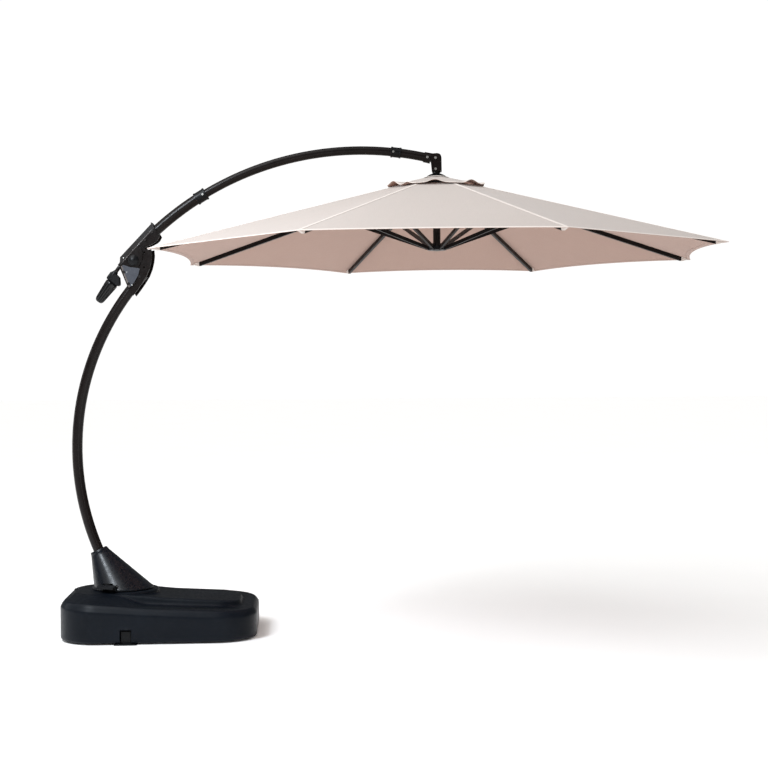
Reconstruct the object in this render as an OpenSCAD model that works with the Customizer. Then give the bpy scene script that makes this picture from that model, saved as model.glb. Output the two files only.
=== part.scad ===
/* [Canopy] */
// Distance from the swivel axis to the canopy axis
canopy_x = 1643; // [1500:1:1800]
// Radius of the open canopy, centre to tip
canopy_r = 1500; // [1200:10:1600]
// Height of the rib pivots in the upper hub
hub_z = 2328.6; // [2200:0.1:2500]
// Downward slope of the open ribs
rib_slope = 15; // [10:0.5:20]
// Pivot circle radius of both hubs
hub_pivot_r = 43; // [38:1:60]
// Rib pivot to strut pivot, and strut length between pivots
link_len = 530; // [450:1:600]
// Depth of a rib bar
rib_h = 22; // [16:1:30]
// Width of a rib bar
rib_w = 14; // [10:1:20]
// Depth of a strut bar
strut_h = 18; // [12:1:24]
// Width of a strut bar
strut_w = 12; // [8:1:16]
// Diameter of the post between the hubs
post_d = 38; // [24:1:44]
// Fabric thickness
cloth_t = 1.5; // [0.6:0.1:2]
// Radius of the vent opening in the main cloth
vent_r = 200; // [120:5:260]
// Corner radius of the vent cap
cap_r = 268; // [200:5:320]
// Inward bow of each canopy edge
edge_bow = 62; // [20:1:90]

/* [Mast and arm] */
// Diameter of the lower arm tube and the mast
tube_d = 54; // [40:1:70]
// Diameter of the middle arm tube
mid_tube_d = 44; // [32:1:60]
// Diameter of the end arm tube
end_tube_d = 46; // [32:1:60]
// Tube wall
tube_wall = 2.5; // [1.5:0.5:5]
// Bend radius of the mast
mast_r = 1338; // [1200:1:1500]
// Bend radius of the arm
arm_r = 1578; // [1400:1:1700]

/* [Base] */
// Turn of the base about the swivel axis
base_yaw = 6.2; // [-180:0.1:180]
// Length of the water tank
tank_l = 995; // [900:5:1200]
// Width of the water tank
tank_w = 750; // [600:5:900]
// Tank height at the mast end
tank_h = 206; // [150:1:260]
// Tank height at the far end
tank_h2 = 154; // [120:1:220]
// Tank wall
tank_t = 4; // [3:0.5:8]
// Plan corner radius of the tank
corner_r = 200; // [60:5:260]
// Thickness of the steel cross frame
frame_t = 6; // [4:1:10]

/* [Hidden] */
$fn = 96;
ribs = 8;
first_rib = 180 / ribs;
// bend centres in the plane of mast and arm
mast_cx = 1095;
mast_cz = 954;
arm_cx = 1234;
arm_cz = 914;
// elbow pivot, and the direction the two tubes share beside it
piv_x = 70;
piv_z = 1935;
elbow_a = 48.74;
bracket_a = 46.2;
// crank axis through the lower end of the bracket
crank_x = -13.6;
crank_z = 1901.9;
crank_a = 52.7;
// arm angles about its bend centre
arm_start = 136.5;
sleeve1_a = 121.05;
sleeve2_a = 82.68;
arm_end = 76.4;
tank_x0 = -300;
tank_x1 = tank_x0 + tank_l;
tank_y0 = -388;
tank_y1 = tank_y0 + tank_w;
tank_z0 = 8;
well_r = 78;
seat_r = 175;
seat_z = tank_h + 22;
ring_z = seat_z + 4;
cone_z = ring_z + 1;
pedal_phi = -107.4;
pedal_r = 142;
pedal_z = 254;
// linkage: strut pivots sit below the rib axis
drop_a = 4.1;
strut_a = rib_slope + drop_a;
clevis_u = link_len * cos(drop_a);
clevis_v = link_len * sin(drop_a);
runner_z = hub_z - 2 * link_len * sin(strut_a);
rib_len = (canopy_r - 60 - hub_pivot_r) / cos(rib_slope);
cloth_off = (rib_h / 2 + 1) / cos(rib_slope);
cloth_v = cloth_t / cos(rib_slope);
pin_d = 5;
play = 0.1;

// ---------- helpers ----------
module arc_tube(cx, cz, r, a0, a1, od, id) {
  translate([cx, 0, cz])
    rotate([90, 0, 0])
      rotate([0, 0, a0])
        rotate_extrude(angle = a1 - a0, $fn = 180)
          translate([r, 0])
            difference() {
              circle(d = od, $fn = 64);
              if (id > 0) circle(d = id, $fn = 64);
            }
}

// flat shapes drawn beside the elbow pivot, centred on the arm plane
module elbow(a = elbow_a, th = 10) {
  translate([piv_x, 0, piv_z])
    rotate([90, 0, 0])
      rotate([0, 0, a])
        linear_extrude(th, center = true)
          children();
}

module y_rod(x, z, d, y0, y1) {
  translate([x, y0, z])
    rotate([-90, 0, 0])
      cylinder(d = d, h = y1 - y0);
}

function elbow_x(u, v, a = elbow_a) = piv_x + u * cos(a) - v * sin(a);
function elbow_z(u, v, a = elbow_a) = piv_z + u * sin(a) + v * cos(a);

// crank parts run along local z, from the bracket end down and out
module crank_axis() {
  translate([crank_x, 0, crank_z])
    rotate([0, -90 - crank_a, 0])
      children();
}

module rrect(x0, x1, y0, y1, r) {
  translate([x0 + r, y0]) square([x1 - x0 - 2 * r, y1 - y0]);
  translate([x0, y0 + r]) square([x1 - x0, y1 - y0 - 2 * r]);
  for (x = [x0 + r, x1 - r])
    for (y = [y0 + r, y1 - r])
      translate([x, y]) circle(r = r);
}

module at_rib(i) {
  translate([canopy_x, 0, 0])
    rotate([0, 0, first_rib + (i - 1) * 360 / ribs])
      children();
}

module canopy_axis() {
  translate([canopy_x, 0, 0]) children();
}

module pedal_frame() {
  rotate([0, 0, pedal_phi]) children();
}

// ---------- base ----------
module base_turn() {
  rotate([0, 0, base_yaw]) children();
}

module tank_form(inset, z0, drop) {
  intersection() {
    translate([0, 0, z0])
      linear_extrude(tank_h + 60)
        rrect(tank_x0 + inset, tank_x1 - inset, tank_y0 + inset, tank_y1 - inset, corner_r - inset);
    translate([0, tank_y1 + 10, 0])
      rotate([90, 0, 0])
        linear_extrude(tank_w + 20)
          polygon([
            [tank_x0 + inset, z0],
            [tank_x0 + inset, tank_h - 48 - drop],
            [tank_x0 + 14 + inset, tank_h - 16 - drop],
            [tank_x0 + 40 + inset, tank_h - drop],
            [-150, tank_h - 2 - drop],
            [180, tank_h - 31 - drop],
            [tank_x1 - 62 - inset, tank_h2 - drop],
            [tank_x1 - 28 - inset, tank_h2 - 6 - drop],
            [tank_x1 - inset, tank_h2 - 36 - drop],
            [tank_x1 - inset - 10, z0]
          ]);
    translate([tank_x0 - 10, 0, 0])
      rotate([90, 0, 90])
        linear_extrude(tank_l + 20)
          polygon([
            [tank_y0 + inset + 8, z0],
            [tank_y0 + inset, 60],
            [tank_y0 + inset, tank_h2 - 16 - drop],
            [tank_y0 + inset + 9, tank_h - 12 - drop],
            [tank_y0 + inset + 22, tank_h - drop],
            [tank_y1 - inset - 22, tank_h - drop],
            [tank_y1 - inset - 9, tank_h - 12 - drop],
            [tank_y1 - inset, tank_h2 - 16 - drop],
            [tank_y1 - inset, 60],
            [tank_y1 - inset - 8, z0]
          ]);
  }
}

// raised middle of the lid, around the swivel and along the tank
module plateau(inset, z0, drop) {
  intersection() {
    translate([0, 0, z0])
      linear_extrude(160)
        rrect(-230 + inset, 610 - inset, -210 + inset, 184 - inset, 110 - inset);
    translate([0, 300, 0])
      rotate([90, 0, 0])
        linear_extrude(600)
          polygon([
            [-230 + inset, z0],
            [-230 + inset, tank_h + 6 - drop],
            [-205, tank_h + 21 - drop],
            [0, tank_h + 20 - drop],
            [248, tank_h - 6 - drop],
            [530, tank_h - 21 - drop],
            [600, tank_h - 30 - drop],
            [610 - inset, tank_h - 42 - drop],
            [610 - inset, z0]
          ]);
  }
}

// the bar ends turn up into a notch at the front and the back
module notch_cut(grow, deep) {
  for (y = [tank_y0, tank_y1])
    translate([20 - grow, y - deep, -1])
      cube([56 + 2 * grow, 2 * deep, 75 + grow]);
}

module cross_frame() {
  color("dimgray")
    base_turn() {
      translate([-288, -40, 0]) cube([972, 80, frame_t]);
      translate([-7, tank_y0 - 12, 0]) cube([110, tank_w + 24, frame_t]);
      translate([-120, -120, 0]) cube([240, 240, frame_t]);
      for (y = [tank_y0 + 16, tank_y1 - 22])
        translate([24, y, frame_t - 0.01]) cube([48, 6, 58]);
    }
}

module base_tank() {
  color("darkslategray")
    base_turn() difference() {
      union() {
        tank_form(0, tank_z0, 0);
        plateau(0, 100, 0);
        translate([0, 0, tank_h - 14]) cylinder(r = seat_r, h = seat_z - tank_h + 14);
      }
      difference() {
        union() {
          tank_form(tank_t, tank_z0 + tank_t, 10);
          plateau(tank_t + 2, 90, 10);
        }
        cylinder(r = well_r + tank_t, h = 400);
        notch_cut(tank_t, 34 + tank_t);
      }
      translate([0, 0, -1]) cylinder(r = well_r, h = 400);
      notch_cut(0, 34);
      // filler neck and drain hole
      translate([-252, 70, tank_h - 30]) cylinder(d = 26, h = 60);
      translate([tank_x0 + 60, -120, 45])
        rotate([0, -90, 0]) cylinder(d = 24, h = 80);
    }
}

module water_ballast() {
  color("lightblue")
    base_turn() difference() {
      tank_form(tank_t + 1, tank_z0 + tank_t + 1, 12);
      translate([0, 0, -1]) cylinder(r = well_r + tank_t + 1, h = 400);
      notch_cut(tank_t + 1, 34 + tank_t + 1);
      translate([-252, 70, tank_h - 40]) cylinder(d = 36, h = 60);
      translate([tank_x0 + 30, -120, 45])
        rotate([0, -90, 0]) cylinder(d = 40, h = 80);
    }
}

module filler_cap() {
  color("black")
    base_turn() translate([-252, 70, tank_h + 0.5]) {
      cylinder(d = 38, h = 8);
      translate([0, 0, -20]) cylinder(d = 25.4, h = 20.1);
      translate([-16, -3, 7.9]) cube([32, 6, 5]);
    }
}

module drain_plug() {
  color("black")
    base_turn() translate([tank_x0 - 0.2, -120, 45])
      rotate([0, -90, 0]) {
        cylinder(d = 36, h = 8);
        translate([0, 0, -14]) cylinder(d = 23.4, h = 14.1);
      }
}

module swivel_flange() {
  color("gray")
    base_turn() translate([0, 0, frame_t])
      difference() {
        union() {
          cylinder(r = 70, h = 8);
          cylinder(d = 60, h = 202.4);
          for (a = [45:90:315])
            rotate([0, 0, a])
              translate([28, -3, 0]) cube([9, 6, 20]);
        }
        translate([0, 0, -1]) cylinder(d = 48, h = 230);
        for (a = [0:90:270])
          rotate([0, 0, a])
            translate([56, 0, -1]) cylinder(d = 11, h = 20);
      }
}

module flange_bolts() {
  color("silver")
    base_turn() for (a = [0:90:270])
      rotate([0, 0, a])
        translate([56, 0, frame_t + 8]) {
          cylinder(d = 17, h = 6, $fn = 6);
          translate([0, 0, -7.8]) cylinder(d = 10, h = 8);
        }
}

module brake_ring() {
  color("gray")
    base_turn() translate([0, 0, seat_z])
      difference() {
        cylinder(r = 138, h = ring_z - seat_z);
        translate([0, 0, -1]) cylinder(r = 94, h = 20);
        for (a = [15:60:315])
          rotate([0, 0, a])
            translate([101, 0, -1]) cylinder(d = 6, h = 20);
      }
}

// ---------- mast ----------
module mast_foot() {
  color("#3a2f2b")
    difference() {
      union() {
        translate([0, 0, frame_t + 22]) cylinder(d = 76, h = 187);
        translate([0, 0, frame_t + 205]) cylinder(r = 66, h = 8);
        for (a = [0:90:270])
          rotate([0, 0, a])
            translate([36, -3, frame_t + 145])
              cube([24, 6, 61]);
      }
      translate([0, 0, -1]) cylinder(d = 60 + play, h = frame_t + 203.5);
    }
}

module cone_body(r0, r1, lift, dz) {
  hull() {
    translate([-7, 0, cone_z + lift]) cylinder(r = r0, h = 1, $fn = 64);
    translate([-134, 0, 425])
      rotate([0, -24.5, 0])
        translate([0, 0, dz]) cylinder(r = r1, h = 1, $fn = 64);
  }
}

module swivel_cone() {
  color("black") {
    difference() {
      union() {
        cone_body(150, 44, 6, -1);
        translate([-7, 0, cone_z]) cylinder(r = 157, h = 7);
      }
      cone_body(146, 39.5, -1, -8);
      arc_tube(mast_cx, mast_cz, mast_r, 190, 214, tube_d + 1, 0);
      // slot for the pedal
      pedal_frame()
        translate([90, -34, cone_z - 2]) cube([120, 68, 38]);
      // the pin passes through the shell beside the slot
      pedal_frame() {
        y_rod(pedal_r, pedal_z, 8, -42, 42);
        y_rod(pedal_r, pedal_z, 15, 41.01, 60);
        y_rod(pedal_r, pedal_z, 15, -60, -41.01);
      }
    }
    // ears for the pedal pin
    pedal_frame()
      for (s = [-1, 1])
        difference() {
          translate([pedal_r - 12, s * 34 - (s > 0 ? 0 : 7), cone_z + 1])
            cube([24, 7, pedal_z - cone_z + 8]);
          translate([pedal_r, s * 34 - 20, pedal_z])
            rotate([-90, 0, 0]) cylinder(d = 8, h = 40);
        }
  }
}

module mast_tube() {
  color("#3a2f2b")
    difference() {
      intersection() {
        arc_tube(mast_cx, mast_cz, mast_r, 137, 216, tube_d, tube_d - 2 * tube_wall);
        translate([-400, -100, frame_t + 213]) cube([900, 200, 2500]);
      }
      for (i = [0, 2, 3])
        y_rod(elbow_x(bolt_spots[i][0], bolt_spots[i][1]), elbow_z(bolt_spots[i][0], bolt_spots[i][1]),
          8, -60, 60);
    }
}

module plate_shape() {
  polygon([
    [-72, 35], [-128, -75], [-139, -119], [-100, -117], [-60, -113], [-15, -106],
    [22, -93], [55, -76], [84, -56], [105, -34], [88, -20], [84, 6], [60, 33]
  ]);
}

module panel_shape() {
  polygon([
    [-70, 33], [-124, -72], [-104, -76], [-8, -43], [34, -34], [62, -14], [74, 8], [56, 31]
  ]);
}

bolt_spots = [[-107, -62], [-77.7, -3], [-84, -80], [-42, -80]];
index_spots = [[9.5, -66], [69, -16.6]];

module head_plate(s) {
  color("#3a2f2b")
    difference() {
      union() {
        translate([0, s * 37.3, 0]) elbow(th = 6) plate_shape();
        translate([0, s * 42.3, 0]) elbow(th = 4.02) panel_shape();
        // boss that carries the pivot bolt
        translate([piv_x, s * 40, piv_z])
          rotate([90, 0, 0]) cylinder(d = 58, h = 9, center = true);
      }
      // sunken face below the pivot
      translate([0, s * 44.3, 0])
        elbow(th = 4)
          polygon([[-60, 4], [-114, -66], [-104, -70], [-24, -42], [-34, -8]]);
      y_rod(piv_x, piv_z, 16, -60, 60);
      for (p = bolt_spots)
        y_rod(elbow_x(p[0], p[1]), elbow_z(p[0], p[1]), 8, -60, 60);
      for (p = index_spots)
        y_rod(elbow_x(p[0], p[1]), elbow_z(p[0], p[1]), 9, -60, 60);
    }
}

module head_plate_left() {
  head_plate(-1);
}

module head_plate_right() {
  head_plate(1);
}

module head_bolts() {
  color("silver")
    for (i = [0:3]) {
      x = elbow_x(bolt_spots[i][0], bolt_spots[i][1]);
      z = elbow_z(bolt_spots[i][0], bolt_spots[i][1]);
      face = i < 2 ? 44.5 : 40.4;
      y_rod(x, z, 7.8, -face, face);
      y_rod(x, z, 14, face - 0.1, face + 4);
      y_rod(x, z, 14, -face - 4, -face + 0.1);
      if (i == 1) {
        y_rod(x, z, 14, -34.2, 34.2);
      }
    }
}

module pivot_bolt() {
  color("silver")
    y_rod(piv_x, piv_z, 15.98, -44.4, 44.4);
}

module pivot_caps() {
  color("#2a2422")
    for (s = [-1, 1])
      translate([piv_x, s * 44.6, piv_z])
        rotate([-90 * s, 0, 0])
          intersection() {
            translate([0, 0, 14 - 38.1]) sphere(r = 38.1);
            cylinder(r = 29.5, h = 20);
          }
}

// ---------- swivel lock ----------
module lock_pedal() {
  color("black")
    pedal_frame()
      difference() {
        union() {
          translate([pedal_r + 14, -47, pedal_z - 6]) cube([42, 94, 11]);
          translate([112, -30, pedal_z - 6]) cube([pedal_r - 90, 60, 11]);
          translate([112, -24, ring_z + 0.4]) cube([18, 48, pedal_z - ring_z - 1]);
          translate([pedal_r, 30, pedal_z])
            rotate([90, 0, 0]) cylinder(d = 16, h = 60);
          for (i = [0:4])
            translate([pedal_r + 19 + i * 7.5, -47, pedal_z + 4.9]) cube([4, 94, 3]);
        }
        translate([pedal_r, 60, pedal_z])
          rotate([90, 0, 0]) cylinder(d = 8 + play, h = 120);
      }
}

module pedal_pin() {
  color("silver")
    pedal_frame()
      translate([pedal_r, 42.5, pedal_z])
        rotate([90, 0, 0]) {
          cylinder(d = 7.98, h = 85);
          translate([0, 0, -1]) cylinder(d = 12, h = 2);
          translate([0, 0, 84]) cylinder(d = 12, h = 2);
        }
}

// ---------- arm ----------
module bracket_side() {
  polygon([
    [-37, 65.5], [199, 65.5], [202, 71], [206, 71], [205, 62], [184, -14], [163, -20],
    [146, -19], [120, -10], [98, -1], [84, -1], [62, -6], [44, -20], [20, -27], [-14, -27], [-34, -14], [-73.6, 32]
  ]);
}

module bracket_space() {
  polygon([
    [-33, 60.5], [230, 60.5], [230, -90], [-110, -90], [-69.5, 27.5]
  ]);
}

// section across the bracket, drawn in y and height above the pivot line
module bracket_run(w0, w1, top, knee) {
  translate([piv_x, 0, piv_z])
    rotate([0, -bracket_a, 0])
      rotate([90, 0, 90])
        translate([0, 0, -120])
          linear_extrude(360)
            polygon([
              [-w0, -95], [w0, -95], [w0, knee], [w1, top], [-w1, top], [-w0, knee]
            ]);
}

module arm_bracket() {
  color("#3a2f2b")
    difference() {
      union() {
        intersection() {
          elbow(bracket_a, 80) bracket_side();
          bracket_run(33.5, 22, 72, 35.5);
        }
        // bushing for the crank shaft
        crank_axis() translate([0, 0, -27]) cylinder(d = 27, h = 21);
      }
      difference() {
        intersection() {
          elbow(bracket_a, 80) bracket_space();
          bracket_run(28.5, 18.5, 60.5, 34.5);
        }
        crank_axis() translate([0, 0, -27]) cylinder(d = 27, h = 40);
      }
      y_rod(piv_x, piv_z, 16 + play, -60, 60);
      for (u = [118, 172])
        y_rod(elbow_x(u, 30, bracket_a), elbow_z(u, 30, bracket_a), 8, -60, 60);
      y_rod(elbow_x(-28, 57.4, bracket_a), elbow_z(-28, 57.4, bracket_a), 4.2, -60, 60);
      crank_axis() translate([0, 0, -40]) cylinder(d = 16 + play, h = 80);
    }
}

module arm_outer_tube() {
  color("#3a2f2b")
    difference() {
      arc_tube(arm_cx, arm_cz, arm_r, sleeve1_a, arm_start, tube_d, tube_d - 2 * tube_wall);
      for (u = [118, 172])
        y_rod(elbow_x(u, 30, bracket_a), elbow_z(u, 30, bracket_a), 8, -60, 60);
    }
}

module arm_inner_tube() {
  color("#3a2f2b")
    difference() {
      arc_tube(arm_cx, arm_cz, arm_r, sleeve2_a + 0.02, sleeve1_a + 2, mid_tube_d, mid_tube_d - 4);
      y_rod(sleeve_x(sleeve1_a - 0.55), sleeve_z(sleeve1_a - 0.55), 6, -60, 60);
      y_rod(sleeve_x(sleeve2_a + 0.45), sleeve_z(sleeve2_a + 0.45), 6, -60, 60);
    }
}

module arm_end_tube() {
  color("#3a2f2b")
    difference() {
      arc_tube(arm_cx, arm_cz, arm_r, arm_end, sleeve2_a - 0.02, end_tube_d, end_tube_d - 5);
      y_rod(1598, socket_z, 8, -60, 60);
    }
}

function sleeve_x(a) = arm_cx + arm_r * cos(a);
function sleeve_z(a) = arm_cz + arm_r * sin(a);
socket_z = arm_cz + sqrt(arm_r * arm_r - (1598 - arm_cx) * (1598 - arm_cx));

// each sleeve joins two tube sizes
module sleeve(a, half, od, id0, id1) {
  color("black")
    difference() {
      union() {
        arc_tube(arm_cx, arm_cz, arm_r, a - half, a + half, od - 4, 0);
        arc_tube(arm_cx, arm_cz, arm_r, a - half, a - half + 0.3, od, 0);
        arc_tube(arm_cx, arm_cz, arm_r, a + half - 0.3, a + half, od, 0);
      }
      arc_tube(arm_cx, arm_cz, arm_r, a, a + half + 1, id0, 0);
      arc_tube(arm_cx, arm_cz, arm_r, a - half - 1, a + 0.01, id1, 0);
      y_rod(sleeve_x(a + (half > 1 ? -0.55 : 0.45)), sleeve_z(a + (half > 1 ? -0.55 : 0.45)), 6, -60, 60);
    }
}

module lower_sleeve() {
  sleeve(sleeve1_a, 1.08, 66, tube_d + 0.3, mid_tube_d + 0.3);
}

module upper_sleeve() {
  sleeve(sleeve2_a, 0.95, 56, mid_tube_d + 0.3, end_tube_d + 0.3);
}

module arm_bolts() {
  color("silver") {
    for (u = [118, 172]) {
      x = elbow_x(u, 30, bracket_a);
      z = elbow_z(u, 30, bracket_a);
      y_rod(x, z, 7.8, -33.6, 33.6);
      y_rod(x, z, 13, 33.6, 37.6);
      y_rod(x, z, 13, -37.6, -33.6);
    }
    for (s = [-1, 1])
      y_rod(elbow_x(-28, 57.4, bracket_a), elbow_z(-28, 57.4, bracket_a), 4,
        s > 0 ? 18 : -29.5, s > 0 ? 29.5 : -18);
    for (s = [[sleeve1_a - 0.55, 31.2], [sleeve2_a + 0.45, 26.2]]) {
      y_rod(sleeve_x(s[0]), sleeve_z(s[0]), 5.8, -s[1], s[1]);
      y_rod(sleeve_x(s[0]), sleeve_z(s[0]), 11, s[1] - 0.1, s[1] + 3);
      y_rod(sleeve_x(s[0]), sleeve_z(s[0]), 11, -s[1] - 3, 0.1 - s[1]);
    }
    y_rod(1598, socket_z, 7.8, -27.1, 27.1);
    y_rod(1598, socket_z, 13, 27.02, 30.5);
    y_rod(1598, socket_z, 13, -30.5, -27.02);
    for (z = [2389, 2446]) {
      y_rod(1640, z, 7.98, -26.2, 26.2);
      y_rod(1640, z, 13, 26.1, 29.5);
      y_rod(1640, z, 13, -29.5, -26.1);
    }
  }
}

module hanger_socket() {
  color("#2a2422")
    difference() {
      union() {
        arc_tube(arm_cx, arm_cz, arm_r, arm_end - 0.35, 77.36, tube_d, 0);
        // fork that enters the link
        translate([0, 19.4, 0])
          rotate([90, 0, 0])
            linear_extrude(38.8)
              polygon([
                [1600, 2430], [1600, 2474], [1640, 2467], [1652, 2462], [1657, 2452],
                [1656, 2436], [1632, 2428]
              ]);
      }
      arc_tube(arm_cx, arm_cz, arm_r, arm_end, 79, end_tube_d + 0.3, 0);
      translate([1613.5, -12.5, 2400]) cube([60, 25, 90]);
      y_rod(1598, socket_z, 8, -60, 60);
      y_rod(1640, 2446, 8.1, -60, 60);
    }
}

module link_side() {
  polygon([
    [1615, 2424], [1620, 2468], [1648, 2470], [1660, 2467], [1667, 2460], [1670, 2449],
    [1671, 2377], [1620, 2377]
  ]);
}

module hanger_link() {
  color("#2a2422")
    difference() {
      translate([0, 26, 0]) rotate([90, 0, 0]) linear_extrude(52) link_side();
      difference() {
        translate([1600, -20, 2360]) cube([80, 40, 120]);
        translate([1666.5, -21, 2360]) cube([10, 42, 120]);
      }
      // sunken panel on both cheeks
      for (s = [-1, 1])
        translate([0, s * 26 + 2, 0])
          rotate([90, 0, 0])
            linear_extrude(4)
              polygon([[1624, 2430], [1626, 2436], [1658, 2436], [1661, 2400], [1661, 2399], [1627, 2399]]);
      for (z = [2389, 2446])
        y_rod(1640, z, 8, -60, 60);
    }
}

module hanger_pulley() {
  color("silver")
    translate([1640, 0, 2446])
      rotate([90, 0, 0])
        difference() {
          union() {
            cylinder(r = 11, h = 20, center = true);
            for (s = [-1, 1])
              translate([0, 0, s * 8.5]) cylinder(r = 15, h = 3, center = true);
          }
          cylinder(d = 8 + play, h = 40, center = true);
        }
}

module hub_neck() {
  color("#2a2422")
    difference() {
      union() {
        translate([canopy_x, 0, hub_z + 10]) cylinder(d = 24, h = 2392 - hub_z - 10);
        translate([canopy_x, 0, 2369.6]) cylinder(d = 41, h = 7);
        y_rod(1640, 2389, 32, -19.6, 19.6);
      }
      translate([canopy_x, 0, hub_z]) cylinder(d = 8, h = 120);
      y_rod(1640, 2389, 8.1, -60, 60);
    }
}

module top_dome() {
  color("black")
    canopy_axis()
      difference() {
        intersection() {
          translate([0, 0, 2369.5 - 84]) sphere(r = 84);
          translate([0, 0, 2354]) cylinder(r = 49, h = 16);
        }
        translate([0, 0, 2340]) cylinder(d = 24.2, h = 40);
      }
}

// ---------- hubs ----------
module hub_slots(z) {
  for (i = [1:ribs])
    rotate([0, 0, first_rib + (i - 1) * 360 / ribs]) {
      translate([hub_pivot_r - 11, -4.2, z - 30]) cube([40, 8.4, 60]);
      translate([hub_pivot_r, 40, z])
        rotate([90, 0, 0]) cylinder(d = pin_d, h = 80);
    }
}

module upper_hub() {
  color("black")
    canopy_axis()
      difference() {
        translate([0, 0, hub_z - 10]) cylinder(r = hub_pivot_r + 7, h = 20);
        hub_slots(hub_z);
        translate([0, 0, hub_z - 11]) cylinder(d = post_d + 1, h = 14);
        translate([0, 0, hub_z - 1]) cylinder(d = 8, h = 30);
      }
}

module pins(z) {
  color("silver")
    canopy_axis()
      for (i = [1:ribs])
        rotate([0, 0, first_rib + (i - 1) * 360 / ribs])
          translate([hub_pivot_r, 9, z])
            rotate([90, 0, 0]) cylinder(d = pin_d - 0.02, h = 18);
}

module hub_pins() {
  pins(hub_z);
}

module runner_pins() {
  pins(runner_z);
}

module runner_hub() {
  color("black")
    canopy_axis()
      difference() {
        union() {
          translate([0, 0, runner_z - 9]) cylinder(r = hub_pivot_r + 6, h = 20);
          translate([0, 0, runner_z + 10]) cylinder(r = 27, h = 16);
          intersection() {
            translate([0, 0, runner_z - 13.6 + 120]) sphere(r = 120);
            translate([0, 0, runner_z - 16]) cylinder(r = hub_pivot_r + 2, h = 8);
          }
        }
        hub_slots(runner_z);
        translate([0, 0, runner_z - 3]) cylinder(d = post_d + 0.2, h = 60);
      }
}

module centre_post() {
  color("#2a2422")
    canopy_axis()
      translate([0, 0, runner_z - 3])
        difference() {
          cylinder(d = post_d, h = hub_z + 1.5 - runner_z);
          translate([0, 0, -1]) cylinder(d = post_d - 5, h = 600);
        }
}

// ---------- canopy frame ----------
module rib(i) {
  color("#2a2422")
    at_rib(i)
      translate([hub_pivot_r, 0, hub_z])
        rotate([0, rib_slope, 0]) {
          difference() {
            union() {
              rotate([90, 0, 0]) cylinder(d = 15, h = 8, center = true);
              translate([0, -4, -7.5]) cube([20, 8, 15]);
              translate([15, -rib_w / 2, -rib_h / 2]) cube([rib_len - 15, rib_w, rib_h]);
              // clevis for the strut
              translate([clevis_u - 9, -rib_w / 2, -clevis_v])
                cube([18, rib_w, clevis_v - 5]);
              translate([clevis_u, 0, -clevis_v])
                rotate([90, 0, 0]) cylinder(d = 18, h = rib_w, center = true);
            }
            rotate([90, 0, 0]) cylinder(d = pin_d + play, h = 20, center = true);
            translate([24, 1.6 - rib_w / 2, 1.6 - rib_h / 2])
              cube([rib_len - 30, rib_w - 3.2, rib_h - 3.2]);
            translate([clevis_u - 20, -4.2, -clevis_v - 12])
              cube([40, 8.4, clevis_v - 1]);
          }
          translate([clevis_u, 0, -clevis_v])
            rotate([90, 0, 0]) cylinder(d = pin_d, h = rib_w - 1, center = true);
        }
}

module strut(i) {
  color("#2a2422")
    at_rib(i)
      translate([hub_pivot_r, 0, runner_z])
        rotate([0, -strut_a, 0])
          difference() {
            union() {
              for (u = [0, link_len])
                translate([u, 0, 0])
                  rotate([90, 0, 0]) cylinder(d = 15, h = 8, center = true);
              translate([0, -4, -7.5]) cube([link_len, 8, 15]);
              translate([15, -strut_w / 2, -strut_h / 2])
                cube([link_len - 33, strut_w, strut_h]);
            }
            for (u = [0, link_len])
              translate([u, 0, 0])
                rotate([90, 0, 0]) cylinder(d = pin_d + play, h = 20, center = true);
          }
}

module rib_1() { rib(1); }
module rib_2() { rib(2); }
module rib_3() { rib(3); }
module rib_4() { rib(4); }
module rib_5() { rib(5); }
module rib_6() { rib(6); }
module rib_7() { rib(7); }
module rib_8() { rib(8); }
module strut_1() { strut(1); }
module strut_2() { strut(2); }
module strut_3() { strut(3); }
module strut_4() { strut(4); }
module strut_5() { strut(5); }
module strut_6() { strut(6); }
module strut_7() { strut(7); }
module strut_8() { strut(8); }

// ---------- cloth ----------
module gore_cone(r0, r1, z0) {
  rotate([0, 0, first_rib])
    translate([0, 0, z0])
      cylinder(r1 = r0, r2 = r1, h = (r0 - r1) * tan(rib_slope), $fn = ribs);
}

function cloth_z(r) = hub_z + cloth_off - (r - hub_pivot_r) * tan(rib_slope);
chord = canopy_r * sin(first_rib);
apothem = canopy_r * cos(first_rib);
hem_steps = 6;
// one point of the hem: gore i, step j from one corner to the next
function hem_point(i, t) = [
  cos(i * 45) * (apothem - edge_bow * (1 - t * t)) - sin(i * 45) * chord * t,
  sin(i * 45) * (apothem - edge_bow * (1 - t * t)) + cos(i * 45) * chord * t
];

module canopy_fabric() {
  color("#e2d6cf")
    canopy_axis()
      difference() {
        intersection() {
          gore_cone(canopy_r + 60, vent_r - 30, cloth_z(canopy_r + 60) + cloth_v);
          translate([0, 0, 1800])
            linear_extrude(height = 700)
              polygon([for (i = [0:ribs - 1]) for (j = [0:hem_steps - 1])
                hem_point(i, 2 * j / hem_steps - 1)]);
        }
        gore_cone(canopy_r + 66, vent_r - 36, cloth_z(canopy_r + 66));
        rotate([0, 0, first_rib])
          translate([0, 0, 2000]) cylinder(r = vent_r, h = 600, $fn = ribs);
      }
}

module vent_cap() {
  color("#e2d6cf")
    canopy_axis()
      difference() {
        gore_cone(cap_r, 30, cloth_z(cap_r) + 2 * cloth_v + 6);
        gore_cone(cap_r, 30, cloth_z(cap_r) + cloth_v + 6);
        translate([0, 0, 2200]) cylinder(d = 44, h = 400);
      }
}

// ---------- crank ----------
module crank_shaft() {
  color("silver")
    crank_axis()
      translate([0, 0, -78]) cylinder(d = 15.96, h = 147);
}

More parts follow.
